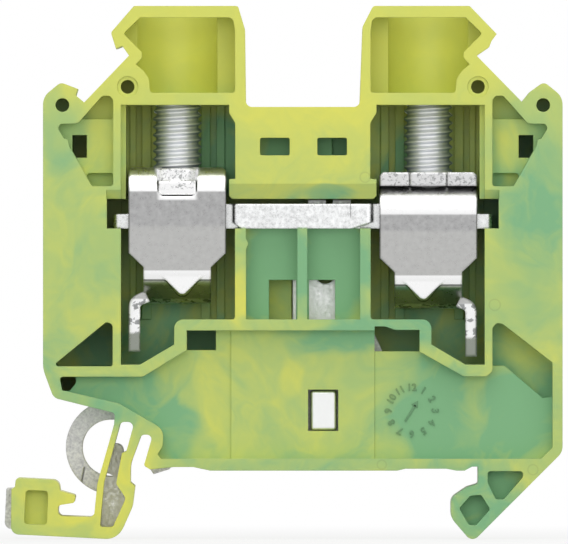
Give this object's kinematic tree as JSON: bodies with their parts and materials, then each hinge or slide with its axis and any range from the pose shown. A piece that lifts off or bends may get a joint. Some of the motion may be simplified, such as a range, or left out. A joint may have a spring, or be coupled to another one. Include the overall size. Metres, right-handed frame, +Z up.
{
  "type": "earth terminal block",
  "caption": "Screw-type protective earth terminal block for a 35 mm mounting rail, with two cage clamps on one current bar and a metal rail foot.",
  "frame": {"origin": "middle of the mounting rail's top face, where the block's underside sits, half way across its width", "axes": "+X along the conductors towards the fixed rail hook, +Y towards the closed side, +Z up from the rail"},
  "size_m": [0.0555, 0.013, 0.0531],
  "materials": {
    "housing_plastic": "satin moulded polyamide, yellow marbled with green",
    "tinned_copper": "bright tin plating",
    "foot_steel": "dull speckled zinc plating",
    "cage_steel": "satin zinc plating",
    "screw_steel": "bright zinc plating"
  },
  "bodies": {
    "block": {"housing": "housing_plastic", "current_bar": "tinned_copper", "earth_foot": "foot_steel"},
    "screw_left": {"clamp_screw_left": "screw_steel"},
    "screw_right": {"clamp_screw_right": "screw_steel"},
    "cage_left": {"clamp_cage_left": "cage_steel"},
    "cage_right": {"clamp_cage_right": "cage_steel"}
  },
  "joints": [
    {"name": "cage_lift_left", "type": "slide", "parent": "block", "child": "cage_left", "axis": [0, 0, 1], "range_m": [-0.00065, 0.0042]},
    {"name": "screw_turn_left", "type": "hinge", "parent": "block", "child": "screw_left", "pos_m": [-0.0125, -0.0005, 0.036], "axis": [0, 0, 1], "range_deg": [-1892, 294.5]},
    {"name": "cage_lift_right", "type": "slide", "parent": "block", "child": "cage_right", "axis": [0, 0, 1], "range_m": [-0.00015, 0.0047]},
    {"name": "screw_turn_right", "type": "hinge", "parent": "block", "child": "screw_right", "pos_m": [0.0125, -0.0005, 0.036], "axis": [0, 0, 1], "range_deg": [-2117, 69.5]}
  ],
  "couplings": [
    {"joint": "screw_turn_left", "follows": "cage_lift_left", "rad_per_m": -7854},
    {"joint": "screw_turn_right", "follows": "cage_lift_right", "rad_per_m": -7854}
  ]
}
